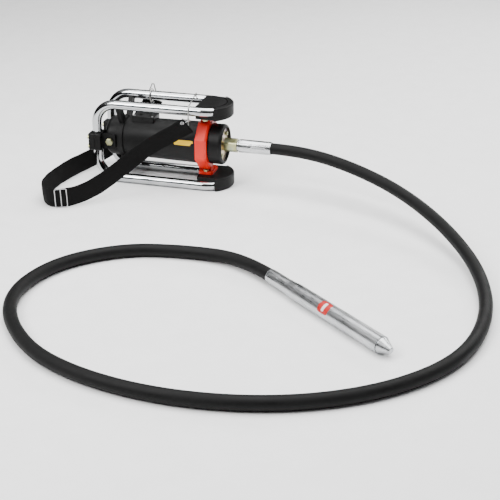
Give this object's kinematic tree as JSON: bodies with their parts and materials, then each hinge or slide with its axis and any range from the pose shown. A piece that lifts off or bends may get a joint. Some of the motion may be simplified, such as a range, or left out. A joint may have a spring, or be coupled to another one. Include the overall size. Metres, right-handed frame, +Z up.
{
  "type": "concrete vibrator",
  "caption": "Portable electric concrete vibrator: black motor in a chrome tube frame with a red collar and carry strap, a coiled flexible shaft hose and a steel vibrating head.",
  "frame": {"origin": "on the floor, under the middle of the motor's tube frame", "axes": "+X along the motor shaft towards the hose, +Y across the frame away from the side where the strap's buckle lies, +Z up"},
  "size_m": [1.1884, 1.1835, 0.2454],
  "materials": {
    "chrome_tube": "bright plated tube",
    "black_rubber": "satin moulded rubber",
    "red_coat": "semi-gloss red enamel on cast aluminium",
    "black_coat": "fine matte black powder coat",
    "black_plastic": "moulded plastic",
    "yellow_zinc": "yellow-green passivated zinc plate",
    "plain_steel": "ground steel",
    "bright_steel": "turned bright steel",
    "hose_rubber": "matte fabric-marked rubber",
    "webbing": "woven black webbing",
    "copper_winding": "enamelled copper wire",
    "carbon": "pressed carbon",
    "lamination": "stacked electrical steel",
    "cast_aluminium": "as cast"
  },
  "bodies": {
    "motor_unit": {"arm_bolts": "yellow_zinc", "brush_holders": "copper_winding", "cable_gland": "black_plastic", "carbon_brushes": "carbon", "carry_strap": "webbing", "clamp_arms": "black_coat", "clamp_caps": "black_coat", "clamp_screws": "yellow_zinc", "collar_bolts": "yellow_zinc", "coupling_nut": "yellow_zinc", "flange_screws": "yellow_zinc", "flex_shaft": "plain_steel", "frame_joint_sleeves": "plain_steel", "front_bearing_plate": "cast_aluminium", "front_collar": "red_coat", "front_cover": "black_coat", "head_adapter": "bright_steel", "head_bearing_balls": "plain_steel", "head_bearing_outer_races": "plain_steel", "head_ferrule": "bright_steel", "head_oil_seal": "black_rubber", "head_tip": "bright_steel", "head_tube": "bright_steel", "hose": "hose_rubber", "lower_bumper": "black_rubber", "lower_frame_tube": "chrome_tube", "motor_bearing_balls": "plain_steel", "motor_bearing_outer_races": "plain_steel", "motor_ferrule": "bright_steel", "motor_housing": "black_coat", "output_flange": "yellow_zinc", "rear_band": "black_coat", "rear_bearing_plate": "cast_aluminium", "rear_cover": "black_coat", "rocker_pin": "plain_steel", "stator_core": "lamination", "stator_windings": "copper_winding", "strap_buckle": "plain_steel", "strap_ring": "plain_steel", "strap_ring_tie": "plain_steel", "strap_wire": "plain_steel", "switch_box": "black_plastic", "switch_cover": "black_plastic", "switch_screws": "plain_steel", "switch_seals": "black_rubber", "upper_bumper": "black_rubber", "upper_frame_tube": "chrome_tube"},
    "rotor": {"rotor_shaft": "plain_steel", "armature_core": "lamination", "armature_windings": "copper_winding", "commutator": "copper_winding", "cooling_fan": "black_plastic", "drive_socket": "plain_steel", "motor_bearing_inner_races": "plain_steel"},
    "eccentric": {"eccentric_weight": "plain_steel", "head_bearing_inner_races": "plain_steel"},
    "rocker": {"switch_rocker": "black_plastic"}
  },
  "joints": [
    {"name": "rotor_spin", "type": "hinge", "parent": "motor_unit", "child": "rotor", "pos_m": [0, 0, 0.1145], "axis": [1, 0, 0], "continuous": true},
    {"name": "eccentric_spin", "type": "hinge", "parent": "motor_unit", "child": "eccentric", "pos_m": [0.433, -0.538, 0.019], "axis": [0.7706, -0.6374, 0], "continuous": true},
    {"name": "rocker_tilt", "type": "hinge", "parent": "motor_unit", "child": "rocker", "pos_m": [-0.0515, 0, 0.1745], "axis": [0, 1, 0], "range_deg": [-16, 0]}
  ],
  "couplings": [
    {"joint": "eccentric_spin", "follows": "rotor_spin", "ratio": 1}
  ]
}
